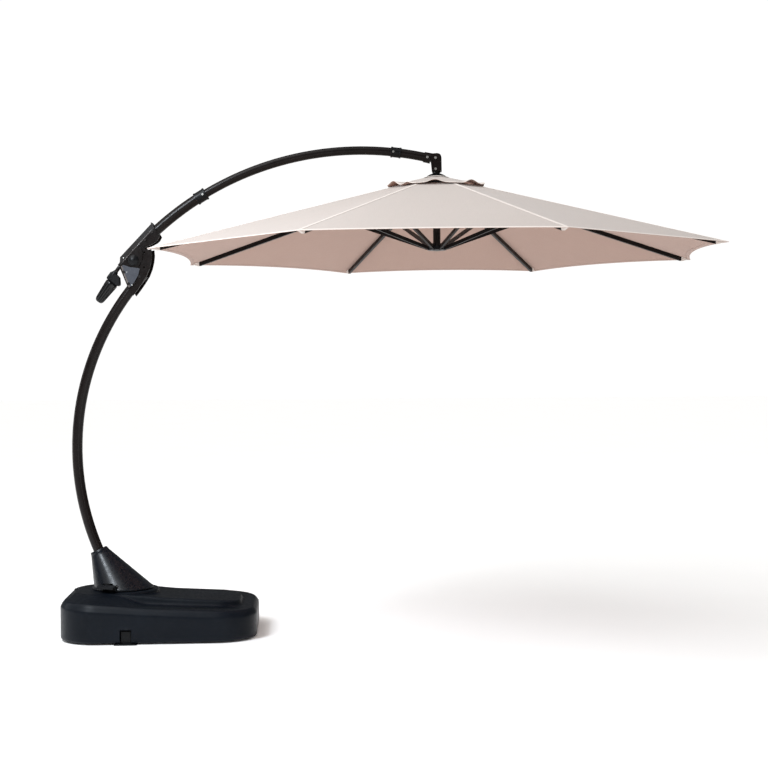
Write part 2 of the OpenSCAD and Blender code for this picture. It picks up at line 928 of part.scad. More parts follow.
module cord_spool() {
  color("gray")
    crank_axis()
      translate([0, 0, -74])
        difference() {
          union() {
            cylinder(r = 10.5, h = 27);
            cylinder(r = 13.5, h = 3);
            translate([0, 0, 24]) cylinder(r = 13.5, h = 3);
          }
          translate([0, 0, -1]) cylinder(d = 16, h = 50);
        }
}

module crank_arm() {
  color("black")
    crank_axis()
      translate([0, 0, 41]) {
        difference() {
          union() {
            translate([0, 0, -15]) cylinder(d = 27, h = 16);
            cylinder(d = 34, h = 42);
            rotate([90, 0, 0])
              linear_extrude(30, center = true)
                polygon([[-36, -1], [-16, -4], [14, -4], [20, 3], [20, 38], [15, 44], [-50, 44],
                  [-59, 37], [-61, 28]]);
          }
          translate([0, 0, -20]) cylinder(d = 16, h = 48.2);
        }
        // pin for the grip
        translate([-19, 0, 40]) cylinder(d = 10, h = 92);
      }
}

module crank_grip() {
  color("black")
    crank_axis()
      translate([-19, 0, 85.6])
        difference() {
          union() {
            cylinder(r1 = 33, r2 = 24, h = 104);
            translate([0, 0, 104]) cylinder(r1 = 24, r2 = 19, h = 14);
            translate([0, 0, 118]) cylinder(r1 = 19, r2 = 12, h = 7);
            for (a = [0:45:315])
              rotate([0, 0, a])
                translate([19, -2.5, 4])
                  rotate([0, -4.95, 0])
                    cube([15.4, 5, 96]);
          }
          translate([0, 0, -1]) cylinder(d = 10 + play, h = 94);
        }
}

module elbow_pulley() {
  color("silver")
    translate([piv_x, 0, piv_z])
      rotate([90, 0, 0])
        difference() {
          union() {
            cylinder(r = 15, h = 36, center = true);
            for (s = [-1, 1])
              translate([0, 0, s * 16]) cylinder(r = 19, h = 4, center = true);
          }
          cylinder(d = 16 + play, h = 60, center = true);
        }
}

cross_frame();
base_tank();
water_ballast();
filler_cap();
drain_plug();
swivel_flange();
flange_bolts();
brake_ring();
mast_foot();
swivel_cone();
mast_tube();
head_plate_left();
head_plate_right();
head_bolts();
pivot_bolt();
pivot_caps();
lock_pedal();
pedal_pin();
arm_bracket();
arm_outer_tube();
lower_sleeve();
arm_inner_tube();
upper_sleeve();
arm_end_tube();
arm_bolts();
hanger_socket();
hanger_link();
hanger_pulley();
hub_neck();
top_dome();
upper_hub();
hub_pins();
canopy_fabric();
vent_cap();
crank_shaft();
cord_spool();
crank_arm();
crank_grip();
elbow_pulley();
centre_post();
runner_hub();
runner_pins();
rib_1();
rib_2();
rib_3();
rib_4();
rib_5();
rib_6();
rib_7();
rib_8();
strut_1();
strut_2();
strut_3();
strut_4();
strut_5();
strut_6();
strut_7();
strut_8();
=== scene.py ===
import bpy
import bmesh
import math
import numpy as np
from mathutils import Vector, Matrix


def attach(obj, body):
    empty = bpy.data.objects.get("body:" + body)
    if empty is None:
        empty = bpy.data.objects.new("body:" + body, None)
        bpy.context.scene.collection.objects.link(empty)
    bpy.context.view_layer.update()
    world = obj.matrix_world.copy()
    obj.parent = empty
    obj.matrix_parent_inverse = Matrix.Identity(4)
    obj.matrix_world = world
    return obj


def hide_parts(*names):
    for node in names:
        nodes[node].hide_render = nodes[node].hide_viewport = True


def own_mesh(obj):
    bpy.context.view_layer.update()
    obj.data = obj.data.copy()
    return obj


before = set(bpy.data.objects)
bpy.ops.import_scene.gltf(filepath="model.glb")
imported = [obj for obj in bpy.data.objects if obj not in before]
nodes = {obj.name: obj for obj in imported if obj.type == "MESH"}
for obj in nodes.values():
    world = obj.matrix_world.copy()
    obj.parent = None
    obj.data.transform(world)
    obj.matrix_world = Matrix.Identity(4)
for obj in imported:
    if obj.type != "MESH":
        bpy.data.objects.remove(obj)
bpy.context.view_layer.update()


# ---------------------------------------------------------------- materials
class Mat:
    """A small helper that wires a node material."""

    def __init__(self, name):
        self.m = bpy.data.materials.new(name)
        self.m.use_nodes = True
        self.t = self.m.node_tree
        self.t.nodes.clear()
        self.out = self.node("ShaderNodeOutputMaterial")
        self.b = self.node("ShaderNodeBsdfPrincipled")
        self.link(self.b.outputs[0], self.out.inputs[0])

    def node(self, kind, **props):
        n = self.t.nodes.new(kind)
        for k, v in props.items():
            setattr(n, k, v)
        return n

    def link(self, a, b):
        self.t.links.new(a, b)

    def put(self, socket, value):
        if isinstance(value, bpy.types.NodeSocket):
            self.link(value, socket)
        elif isinstance(value, tuple) and len(value) == 3 and len(socket.default_value) == 4:
            socket.default_value = (*value, 1)
        else:
            socket.default_value = value

    def set(self, **values):
        for k, v in values.items():
            self.put(self.b.inputs[k.replace("_", " ")], v)

    def coords(self, kind="Object", scale=(1, 1, 1)):
        tc = self.node("ShaderNodeTexCoord")
        mp = self.node("ShaderNodeMapping")
        mp.inputs["Scale"].default_value = scale
        self.link(tc.outputs[kind], mp.inputs["Vector"])
        return mp.outputs[0]

    def noise(self, vector, scale, detail=3.0, rough=0.5, distortion=0.0):
        n = self.node("ShaderNodeTexNoise")
        self.link(vector, n.inputs["Vector"])
        n.inputs["Scale"].default_value = scale
        n.inputs["Detail"].default_value = detail
        n.inputs["Roughness"].default_value = rough
        n.inputs["Distortion"].default_value = distortion
        return n.outputs["Fac"]

    def voronoi(self, vector, scale):
        n = self.node("ShaderNodeTexVoronoi", feature="F1")
        self.link(vector, n.inputs["Vector"])
        n.inputs["Scale"].default_value = scale
        n.inputs["Randomness"].default_value = 1.0
        return n.outputs["Distance"]

    def wave(self, vector, scale, direction="X", distortion=0.0):
        n = self.node("ShaderNodeTexWave", wave_type="BANDS", bands_direction=direction)
        self.link(vector, n.inputs["Vector"])
        n.inputs["Scale"].default_value = scale
        n.inputs["Distortion"].default_value = distortion
        n.inputs["Detail"].default_value = 1.0
        return n.outputs["Fac"]

    def math(self, op, a, b=0.5, clamp=False):
        n = self.node("ShaderNodeMath", operation=op, use_clamp=clamp)
        self.put(n.inputs[0], a)
        self.put(n.inputs[1], b)
        return n.outputs[0]

    def span(self, x, a, b, lo, hi):
        n = self.node("ShaderNodeMapRange")
        self.link(x, n.inputs["Value"])
        for k, v in zip(("From Min", "From Max", "To Min", "To Max"), (a, b, lo, hi)):
            n.inputs[k].default_value = v
        return n.outputs[0]

    def mix(self, fac, a, b, blend="MIX"):
        n = self.node("ShaderNodeMix", data_type="RGBA", blend_type=blend)
        self.put(n.inputs[0], fac)
        self.put(n.inputs[6], a)
        self.put(n.inputs[7], b)
        return n.outputs[2]

    def bump(self, height, strength, distance, normal=None):
        n = self.node("ShaderNodeBump")
        self.link(height, n.inputs["Height"])
        n.inputs["Strength"].default_value = strength
        n.inputs["Distance"].default_value = distance
        if normal is not None:
            self.link(normal, n.inputs["Normal"])
        return n.outputs[0]

    def rounded(self, radius=0.0012):
        n = self.node("ShaderNodeBevel", samples=4)
        n.inputs["Radius"].default_value = radius
        return n.outputs[0]

    def edges(self, lo=0.52, hi=0.62):
        g = self.node("ShaderNodeNewGeometry")
        return self.span(g.outputs["Pointiness"], lo, hi, 0.0, 1.0)


def shade(color, share, add=0.0):
    return tuple(c * share + add for c in color)


RUBBED = (0.075, 0.062, 0.056)


def powder_coat(name, color, rough, spec):
    """Fine orange-peel coat with faint dust and lightly rubbed edges."""
    m = Mat(name)
    p = m.coords()
    fine = m.noise(p, 900, 2, 0.6)
    peel = m.noise(p, 260, 2, 0.5)
    big = m.noise(p, 7, 4, 0.6)
    tone = m.mix(m.span(big, 0.3, 0.7, 0, 1), shade(color, 0.80), shade(color, 1.25))
    speck = m.span(m.noise(p, 1500, 1, 0.5), 0.62, 0.74, 0, 0.3)
    tone = m.mix(speck, tone, shade(color, 2.2, 0.004))
    film = m.span(m.noise(m.coords(scale=(1, 1, 0.35)), 16, 6, 0.7), 0.52, 0.80, 0, 0.10)
    tone = m.mix(film, tone, (0.055, 0.050, 0.047))
    worn = m.edges(0.55, 0.70)
    edge_tint = m.math("MULTIPLY", worn, m.span(m.noise(p, 40, 4, 0.7), 0.50, 0.75, 0, 0.10), clamp=True)
    tone = m.mix(edge_tint, tone, RUBBED)
    r = m.span(m.noise(p, 30, 5, 0.65), 0.3, 0.7, rough - 0.05, rough + 0.08)
    n = m.bump(fine, 0.05, 0.0003, m.rounded())
    n = m.bump(peel, 0.10, 0.0008, n)
    m.set(Base_Color=tone, Roughness=r, Normal=n)
    m.b.inputs["Specular IOR Level"].default_value = spec
    return m.m


def moulded(name, color, rough, grain, depth, wear_and_highlight=0.06, dust=0.03, spec=0.3, edge=0.0012):
    """Moulded plastic with a leather-like grain and a trace of dust; convex edges turn pale blue,
    as wear, and on the tank as a painted highlight along the ridge.
    """
    m = Mat(name)
    p = m.coords()
    cells = m.voronoi(p, grain)
    soft = m.noise(p, grain * 0.45, 4, 0.6)
    big = m.noise(p, 5, 5, 0.6)
    tone = m.mix(m.span(big, 0.3, 0.7, 0, 1), shade(color, 0.8), shade(color, 1.3))
    tone = m.mix(m.span(cells, 0.1, 0.7, 0.30, 0.0), tone, shade(color, 0.4))
    d = m.math("MULTIPLY", m.span(m.noise(p, 22, 6, 0.7), 0.5, 0.75, 0, 1), dust, clamp=True)
    tone = m.mix(d, tone, (0.16, 0.16, 0.16))
    # painted highlight and wear: convex edges mixed towards a pale blue, strongly on the tank's
    # ridge
    edge_tint = m.math("MULTIPLY", m.edges(0.53, 0.66), wear_and_highlight, clamp=True)
    tone = m.mix(edge_tint, tone, (0.080, 0.092, 0.115))
    r = m.span(m.noise(p, 60, 4, 0.6), 0.3, 0.7, rough - 0.07, rough + 0.08)
    n = m.bump(cells, depth, 0.0004, m.rounded(edge))
    n = m.bump(soft, depth * 0.7, 0.0007, n)
    m.set(Base_Color=tone, Roughness=r, Normal=n)
    m.b.inputs["Specular IOR Level"].default_value = spec
    return m.m


def bare_metal(name, color, rough):
    """Unpainted metal with fine lines and darker spots."""
    m = Mat(name)
    p = m.coords()
    lines = m.noise(p, 320, 3, 0.7)
    spot = m.noise(m.coords(), 35, 5, 0.65)
    tone = m.mix(m.span(spot, 0.35, 0.7, 0, 0.4), color, shade(color, 0.55))
    r = m.span(lines, 0.3, 0.7, rough - 0.08, rough + 0.14)
    m.set(Base_Color=tone, Roughness=r, Metallic=1.0, Normal=m.bump(lines, 0.15, 0.0002))
    return m.m


WAVE_BAND = 6.2832
THREAD_GLOW = (0.9, 0.62, 0.5)


def cloth(name, color, deep, through, weave=620, folds=0.5):
    """Plain-woven polyester: UVs are metres on the flat panel, so the weave keeps its pitch."""
    m = Mat(name)
    uv = m.coords("UV")
    obj = m.coords()
    a = m.wave(uv, weave / WAVE_BAND, "X", 0.6)
    b = m.wave(uv, weave / WAVE_BAND, "Y", 0.6)
    over = m.math("MULTIPLY", a, b)
    slub_x = m.noise(m.coords("UV", (260, 9, 1)), 1, 2, 0.6)
    slub_y = m.noise(m.coords("UV", (9, 260, 1)), 1, 2, 0.6)
    slub = m.math("ADD", slub_x, slub_y)
    tone = m.mix(m.span(over, 0.0, 0.55, 0.16, 0.0), color, deep)
    tone = m.mix(m.span(slub, 0.8, 1.25, 0.0, 0.14), tone, deep)
    patch = m.noise(obj, 2.6, 5, 0.55)
    tone = m.mix(m.span(patch, 0.3, 0.7, 0.0, 0.10), tone, deep)
    n = m.bump(over, 0.30, 0.00025)
    n = m.bump(slub, 0.12, 0.0004, n)
    pull = m.noise(m.coords("UV", (7, 1.3, 1)), 1, 4, 0.5, 0.4)
    n = m.bump(pull, folds, 0.006, n)
    crease = m.noise(m.coords("UV", (16, 16, 1)), 1, 3, 0.5, 1.2)
    n = m.bump(crease, folds * 0.35, 0.0016, n)
    m.set(Base_Color=tone, Roughness=m.span(slub, 0.7, 1.3, 0.80, 0.9), Normal=n)
    m.b.inputs["Sheen Weight"].default_value = 0.18
    m.b.inputs["Sheen Roughness"].default_value = 0.45
    m.b.inputs["Specular IOR Level"].default_value = 0.25
    tr = m.node("ShaderNodeBsdfTranslucent")
    m.link(m.mix(0.55, tone, THREAD_GLOW, "MULTIPLY"), tr.inputs["Color"])
    m.link(n, tr.inputs["Normal"])
    both = m.node("ShaderNodeMixShader")
    both.inputs[0].default_value = through
    m.link(m.b.outputs[0], both.inputs[1])
    m.link(tr.outputs[0], both.inputs[2])
    m.link(both.outputs[0], m.out.inputs[0])
    return m.m


bronze = powder_coat("bronze_coat", (0.0052, 0.0034, 0.0031), 0.25, 0.17)
bronze_dark = powder_coat("bronze_coat_inner", (0.0050, 0.0034, 0.0030), 0.38, 0.14)
black_coat = powder_coat("black_coat", (0.0050, 0.0054, 0.0062), 0.36, 0.14)
black_plastic = moulded("black_plastic", (0.0040, 0.0041, 0.0048), 0.34, 520, 0.12, spec=0.17,
                        dust=0.012)
cone_plastic = moulded("cone_plastic", (0.0022, 0.0036, 0.0066), 0.30, 900, 0.003, wear_and_highlight=0.0,
                       spec=0.28, dust=0.0)
# the tank's edges are lightened strongly: a painted highlight along its ridge
tank_plastic = moulded("tank_plastic", (0.0034, 0.0052, 0.0084), 0.38, 300, 0.45, wear_and_highlight=0.55,
                       dust=0.012, spec=0.11, edge=0.006)
grip_rubber = moulded("grip_rubber", (0.0030, 0.0030, 0.0034), 0.16, 700, 0.04, spec=0.34)
# a bronze many times lighter than the coat: it paints the highlight along the head plates' rims and
# the bracket's knee
painted_highlight_bronze = powder_coat("painted_highlight_bronze", (0.105, 0.088, 0.082), 0.24, 0.8)
insert_plastic = moulded("insert_plastic", (0.036, 0.039, 0.049), 0.34, 640, 0.10, spec=0.35)
zinc = bare_metal("zinc_plate", (0.52, 0.52, 0.50), 0.36)
oxide = bare_metal("black_oxide", (0.030, 0.027, 0.026), 0.34)
# darker, redder copy of the tape for the hems' downward faces: painted shade
hem_shaded_tape = cloth("painted_shade_hem_tape", (0.45, 0.31, 0.26), (0.34, 0.23, 0.19), 0.10, 900, 0.1)


def arm_bolt_metal():
    """Bolts beside the elbow are blackened, those along the arm are bright."""
    m = Mat("arm_bolt_metal")
    p = m.coords()
    lines = m.noise(p, 320, 3, 0.7)
    split = m.node("ShaderNodeSeparateXYZ")
    m.link(p, split.inputs[0])
    far = m.math("GREATER_THAN", split.outputs[0], 0.30)
    bright = m.mix(m.noise(p, 60, 4, 0.6), (0.56, 0.55, 0.52), (0.34, 0.33, 0.31))
    m.set(Base_Color=m.mix(far, (0.032, 0.028, 0.027), bright), Metallic=1.0,
          Roughness=m.span(lines, 0.3, 0.7, 0.30, 0.48), Normal=m.bump(lines, 0.15, 0.0002))
    return m.m


arm_bolt = arm_bolt_metal()
cast = bare_metal("cast_aluminium", (0.58, 0.58, 0.59), 0.38)
thread_tape = cloth("binding_tape", (0.70, 0.635, 0.59), (0.60, 0.52, 0.47), 0.10, 900, 0.1)
cloth_top = cloth("canopy_top", (0.535, 0.478, 0.442), (0.425, 0.362, 0.328), 0.16)
# darker, redder copies of the cloth for the undersides of the canopy and the vent cap: painted
# shade
cloth_shaded_underside = cloth("painted_shade_canopy_cloth", (0.480, 0.325, 0.268), (0.37, 0.24, 0.195), 0.15)
cap_shaded_cloth = cloth("painted_shade_cap_cloth", (0.42, 0.235, 0.175), (0.30, 0.16, 0.12), 0.20)

water = Mat("ballast_water")
wn = water.noise(water.coords(), 3, 3, 0.5)
water.set(Base_Color=water.mix(wn, (0.42, 0.60, 0.66), (0.55, 0.72, 0.76)), Roughness=0.08)

RIBS = range(1, 9)
FINISHES = [
    (bronze, ["mast_foot", "mast_tube", "head_plate_left", "head_plate_right", "arm_bracket",
              "arm_outer_tube", "arm_inner_tube", "arm_end_tube", "hanger_socket", "hanger_link",
              "hub_neck"]),
    (bronze_dark, ["centre_post"] + [f"rib_{i}" for i in RIBS] + [f"strut_{i}" for i in RIBS]),
    (black_coat, ["cross_frame", "brake_ring", "swivel_flange"]),
    (black_plastic, ["lower_sleeve", "upper_sleeve", "top_dome", "upper_hub", "runner_hub",
                     "crank_arm", "lock_pedal", "filler_cap", "drain_plug", "pivot_caps"]),
    (cone_plastic, ["swivel_cone"]),
    (grip_rubber, ["crank_grip"]),
    (zinc, ["flange_bolts", "pivot_bolt", "pedal_pin", "hub_pins", "runner_pins", "crank_shaft"]),
    (oxide, ["head_bolts"]),
    (arm_bolt, ["arm_bolts"]),
    (cast, ["hanger_pulley", "elbow_pulley", "cord_spool"]),
    (tank_plastic, ["base_tank"]),
    (water.m, ["water_ballast"]),
]


for mat, names in FINISHES:
    for n in names:
        nodes[n].data.materials.clear()
        nodes[n].data.materials.append(mat)


# ---------------------------------------------------------------- mesh helpers
def piece(name, verts, faces, mat, body=None, slots=None, uvs=None, angle=None, outward=False):
    """A mesh that rides a body. angle is where shading turns sharp, in degrees."""
    me = bpy.data.meshes.new(name)
    me.from_pydata([tuple(map(float, v)) for v in verts], [], [tuple(map(int, f)) for f in faces])
    me.update()
    for m in (mat if isinstance(mat, (list, tuple)) else [mat]):
        me.materials.append(m)
    me.polygons.foreach_set("use_smooth", [True] * len(me.polygons))
    if slots is not None:
        me.polygons.foreach_set("material_index", list(map(int, slots)))
    if uvs is not None:
        layer = me.uv_layers.new(name="UVMap")
        layer.data.foreach_set("uv", np.asarray(uvs, np.float32).ravel())
    if outward:
        bm = bmesh.new()
        bm.from_mesh(me)
        bmesh.ops.recalc_face_normals(bm, faces=bm.faces)
        bm.to_mesh(me)
        bm.free()
    if angle is not None:
        me.set_sharp_from_angle(angle=math.radians(angle))
    ob = bpy.data.objects.new(name, me)
    bpy.context.scene.collection.objects.link(ob)
    if body:
        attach(ob, body)
    return ob


def grid_faces(nu, nv, start, flip=False):
    """Quads of a grid stored row by row, nv points to a row."""
    out = []
    for i in range(nu - 1):
        for j in range(nv - 1):
            a = start + i * nv + j
            b = a + nv
            q = (a, b, b + 1, a + 1)
            out.append(q[::-1] if flip else q)
    return out


# ---------------------------------------------------------------- canopy measures (metres)
AX = 1.643                              # x of the canopy's axis
HUB = 2.3286                            # height of the rib pivots
PIV = 0.043                             # pivots from the axis
SLOPE = math.tan(math.radians(15))      # fall of a rib
HALF = math.radians(22.5)               # half a gore
RIM = 1.5                               # rib tips from the axis
CHORD = RIM * math.sin(HALF)            # half a side of the octagon
APO = RIM * math.cos(HALF)              # middle of a side from the axis
BOW = 0.062                             # how far a hem curves in
VENT = 0.200                            # corners of the vent from the axis
OFF = 0.01242                           # underside of the cloth above the rib's centre line
T = 0.0012                              # cloth thickness as drawn


def azimuth(i):
    return math.radians(22.5 + 45 * (i - 1))


def hem_p(w):
    """Distance along mid-gore of the hem on the ray at share w from rib (0) to mid-gore (1)."""
    k = math.tan(HALF) * (1 - w)
    t = 1 - w
    for _ in range(30):
        t = k * (APO - BOW * (1 - t * t)) / CHORD
    return APO - BOW * (1 - t * t)


def gore_xy(i, side, w, p):
    """x and y of a point p along mid-gore at share w, and its distance q from mid-gore."""
    m = azimuth(i) + side * HALF
    q = -side * math.tan(HALF) * (1 - w) * p
    return (AX + p * math.cos(m) - q * math.sin(m), p * math.sin(m) + q * math.cos(m), q)


def cloth_height(w, p, i, side):
    """Underside of the main cloth with its sag, the same between every two ribs."""
    r = p / math.cos(HALF)
    s = p / APO
    across = 1 - (1 - w) ** 2
    sag = 0.015 * across * s * (1.45 - 0.9 * s)
    return HUB + OFF - (r - PIV) * SLOPE - sag


UV_STRETCH = 1.041                      # length down the cloth for a length in plan


def across_steps(n, first):
    """Shares from the rib to mid-gore, fine next to the rib."""
    return [0.0, first] + [first + (1 - first) * (k / n) for k in range(1, n + 1)]


def gore_sheet(name, i, p_in, p_out, height, n_w, n_v, mats, first=0.012, sharp=9, bulge=1.0):
    """One panel pair around a rib, mid-gore to mid-gore, as a thin closed sheet."""
    ws = across_steps(n_w, first)
    cols = [(-1, w) for w in reversed(ws)] + [(1, w) for w in ws[1:]]
    nv = n_v + 1
    low, uvq = [], []
    for side, w in cols:
        a, b = p_in(w), p_out(w)
        for j in range(nv):
            v = j / n_v
            v = v + 0.10 * math.sin(math.pi * v) * (1 - v) * bulge
            p = a + (b - a) * v
            x, y, q = gore_xy(i, side, w, p)
            low.append((x, y, height(w, p, i, side)))
            uvq.append((q, p * UV_STRETCH))
    nu, n = len(cols), len(low)
    verts = [(x, y, z + T) for x, y, z in low] + low
    faces = grid_faces(nu, nv, 0, flip=True) + grid_faces(nu, nv, n)
    # slot 1, the underside, takes the second material: the darker painted-shade cloth
    slots = [0] * ((nu - 1) * (nv - 1)) + [1] * ((nu - 1) * (nv - 1))
    mid = len(ws) - 1
    side_of = [(-1 if c < mid else 1) for c in range(nu - 1) for _ in range(nv - 1)] * 2
    for c in range(nu - 1):
        for j, turn in ((0, True), (nv - 1, False)):
            a, b = c * nv + j, (c + 1) * nv + j
            f = (a, b, n + b, n + a)
            faces.append(f if turn else f[::-1])
            side_of.append(-1 if c < mid else 1)
    for c, turn in ((0, False), (nu - 1, True)):
        for j in range(nv - 1):
            a, b = c * nv + j, c * nv + j + 1
            f = (a, b, n + b, n + a)
            faces.append(f if turn else f[::-1])
            side_of.append(-1 if c == 0 else 1)
    slots += [0] * (len(faces) - len(slots))
    uvs = []
    for f, s in zip(faces, side_of):
        for k in f:
            q, p = uvq[k % n]
            if (k % n) // nv == mid:
                q = -s * abs(q)
            uvs.append((q, p))
    return piece(name, verts, faces, mats, f"rib_{i}", slots=slots, uvs=uvs, angle=sharp)


HEM = 0.0010                            # thickness of the folded tape
# ring points from HEM_UNDER on take the tape's darker painted-shade copy
HEM_UNDER = 5                           # ring points from this one on face down


def hem_binding(name, i, p_out, height, n_w, mat, width=0.022, first=0.012, inner=False):
    """The folded hem: a flat tube that wraps the sheet's outer edge, or the edge of the vent."""
    ws = across_steps(n_w, first)
    cols = [(-1, w) for w in reversed(ws)] + [(1, w) for w in ws[1:]]
    ring = [(-width, T * 0.6), (-width + 0.001, T + HEM * 0.8), (-width * 0.5, T + HEM),
            (-0.002, T + HEM), (0.0006, T + HEM * 0.6), (0.0013, T * 0.5), (0.0006, -HEM * 0.6),
            (-0.002, -HEM), (-width * 0.5, -HEM), (-width + 0.001, -HEM * 0.8), (-width, T * 0.4)]
    verts, uvq = [], []
    for side, w in cols:
        for dp, dz in ring:
            p = p_out(w) + (-dp if inner else dp)
            x, y, q = gore_xy(i, side, w, p)
            verts.append((x, y, height(w, p, i, side) + dz))
            uvq.append((q, p))
    nv, nu = len(ring), len(cols)
    faces = []
    for c in range(nu - 1):
        for j in range(nv):
            a, b = c * nv + j, c * nv + (j + 1) % nv
            faces.append((a, b, b + nv, a + nv))
    faces.append(tuple(range(nv))[::-1])
    faces.append(tuple((nu - 1) * nv + j for j in range(nv)))
    if inner:
        faces = [f[::-1] for f in faces]
    uvs = [uvq[k] for f in faces for k in f]
    # faces from HEM_UNDER on, facing down, take slot 1: painted shade
    slots = [1 if k % nv >= HEM_UNDER else 0 for k in range((nu - 1) * nv)] + [0, 0]
    return piece(name, verts, faces, [mat, hem_shaded_tape], f"rib_{i}", slots=slots, uvs=uvs, angle=50)


def along_rib(i, r, d, z):
    """A point beside rib i: r out from the axis, d sideways, z up."""
    a = azimuth(i)
    return (AX + r * math.cos(a) - d * math.sin(a), r * math.sin(a) + d * math.cos(a), z)


def rib_z(r, d=0.0):
    """Underside of the cloth beside the rib line."""
    return HUB + OFF - (r - PIV) * SLOPE - abs(d) * math.sin(HALF) / math.cos(HALF) * SLOPE


UV_ROUND = 0.05                         # width in the UV map of one turn round a loft


def loft(name, rings, mat, body, angle=40):
    """A closed skin through rings of the same number of points, capped at both ends."""
    nv = len(rings[0])
    verts = [v for ring in rings for v in ring]
    faces = []
    for c in range(len(rings) - 1):
        for j in range(nv):
            a, b = c * nv + j, c * nv + (j + 1) % nv
            faces.append((a, b, b + nv, a + nv))
    faces.append(tuple(range(nv))[::-1])
    faces.append(tuple((len(rings) - 1) * nv + j for j in range(nv)))
    pts = [Vector(v) for v in verts]
    run = [0.0]
    for c in range(1, len(rings)):
        run.append(run[-1] + (pts[c * nv] - pts[(c - 1) * nv]).length)
    uvs = []
    for f in faces:
        for k in f:
            uvs.append(((k % nv) / nv * UV_ROUND, run[k // nv]))
    return piece(name, verts, faces, mat, body, uvs=uvs, angle=angle, outward=True)


def folds_with(obj):
    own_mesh(obj)


P_VENT = VENT * math.cos(HALF)
P_CAP_IN = 0.024                        # the cap's own small hole, under the collar
CAP_R = 0.268                           # corners of the vent cap from the axis
CAP_BOW = 0.010
CAP_LIFT = 0.00155 + 0.006 + 0.0016     # cap above the main cloth


def vent_p(w):
    return P_VENT


def cap_in(w):
    return P_CAP_IN


def cap_out(w):
    return CAP_R * math.cos(HALF) - CAP_BOW * (1 - (1 - w) ** 2)


# where the cap's hem stands off the cloth: centre, height in metres, half width (angles in degrees)
CAP_LIFTS = [(-91, 0.019, 9.5), (-41, 0.026, 11), (-150, 0.027, 7), (-127, 0.012, 7),
             (-20, 0.016, 5), (3, 0.018, 10), (47, 0.021, 12), (88, 0.018, 10),
             (136, 0.022, 11), (178, 0.019, 10)]


LIFT_FROM = 0.11                        # the lifts grow from here to the hem
LIFT_END = 2.2                          # a lift ends at this many half widths


def cap_height(w, p, i, side):
    """Underside of the vent cap, its hem wavy all the way round."""
    r = p / math.cos(HALF)
    s = max(0.0, min(1.0, (p - LIFT_FROM) / (CAP_R * math.cos(HALF) - LIFT_FROM)))
    ang = math.degrees(azimuth(i)) + side * math.degrees(HALF - math.atan(math.tan(HALF) * (1 - w)))
    lift = 0.0
    for at, high, wide in CAP_LIFTS:
        off = abs((ang - at + 180) % 360 - 180) / wide
        if off < LIFT_END:
            lift += high * math.exp(-off * off) * (1 - (off / LIFT_END) ** 2)
    flat = 0.0035 * (1 - min(1.0, p / 0.12))
    return HUB + OFF + CAP_LIFT - (r - PIV) * SLOPE + lift * s ** 2.6 - flat


TAPE_IN, TAPE_OUT, TAPE_ROWS = 0.206, 0.010, 48
TAPE_SECTION = ((-0.0095, 0.0), (-0.0085, 0.0011), (-0.004, 0.0014), (0, 0.0017), (0.004, 0.0014),
                (0.0085, 0.0011), (0.0095, 0.0), (0, 0.0002))
# radius, half width and depth of the pocket that holds a rib's tip
POCKET_ROWS = ((1.4395, 0.0080, 0.0200), (1.4420, 0.0092, 0.0222), (1.4500, 0.0090, 0.0205),
               (1.4600, 0.0082, 0.0150), (1.4720, 0.0070, 0.0085), (1.4840, 0.0060, 0.0038),
               (1.4915, 0.0045, 0.0016))
POCKET_SECTION = ((-1.35, 0.02), (-1.02, 0.10), (-1.0, 0.5), (-0.92, 0.88), (-0.62, 1.0),
                  (0.0, 1.03), (0.62, 1.0), (0.92, 0.88), (1.0, 0.5), (1.02, 0.10),
                  (1.35, 0.02), (0, -0.02))

for i in RIBS:
    wing = gore_sheet(f"canopy_panel_{i}", i, vent_p, hem_p, cloth_height, 14, 36,
                      [cloth_top, cloth_shaded_underside])
    hem = hem_binding(f"canopy_hem_{i}", i, hem_p, cloth_height, 14, thread_tape)
    vent = hem_binding(f"vent_hem_{i}", i, vent_p, cloth_height, 8, thread_tape, width=0.018,
                       inner=True)
    tape = []
    for k in range(TAPE_ROWS + 1):
        r = TAPE_IN + (RIM - TAPE_OUT - TAPE_IN) * k / TAPE_ROWS
        tape.append([along_rib(i, r, d, rib_z(r, d) + T + h) for d, h in TAPE_SECTION])
    seam = loft(f"seam_tape_{i}", tape, thread_tape, f"rib_{i}", angle=35)
    pocket = [[along_rib(i, r, u * half, rib_z(r, u * half) - v * drop) for u, v in POCKET_SECTION]
              for r, half, drop in POCKET_ROWS]
    tip = loft(f"tip_pocket_{i}", pocket, thread_tape, f"rib_{i}", angle=50)
    for o in (wing, hem, vent, seam):
        folds_with(o)
    if i == 1:
        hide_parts("canopy_fabric")

    cap = gore_sheet(f"vent_cap_panel_{i}", i, cap_in, cap_out, cap_height, 12, 16,
                     [cloth_top, cap_shaded_cloth], first=0.06, sharp=14, bulge=0)
    cap_hem = hem_binding(f"vent_cap_hem_{i}", i, cap_out, cap_height, 12, thread_tape,
                          width=0.014, first=0.06)
    for o in (cap, cap_hem):
        folds_with(o)
    if i == 1:
        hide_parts("vent_cap")


# ---------------------------------------------------------------- base tank
YAW = math.radians(6.2)


def base_pt(x, y, z):
    return (x * math.cos(YAW) - y * math.sin(YAW), x * math.sin(YAW) + y * math.cos(YAW), z)


def eased(x, xs, zs, span=0.05):
    """A piecewise line with its corners softened."""
    return float(np.mean([np.interp(x + d, xs, zs) for d in np.linspace(-span, span, 9)]))


def lid_z(x):
    return eased(x, [-0.30, -0.177, 0.0, 0.158, 0.457, 0.604, 0.70],
                 [0.2065, 0.205, 0.190, 0.175, 0.162, 0.155, 0.151])


def wall_z(x):
    return eased(x, [-0.30, -0.185, -0.028, 0.218, 0.415, 0.604, 0.70],
                 [0.176, 0.171, 0.159, 0.142, 0.131, 0.129, 0.127])


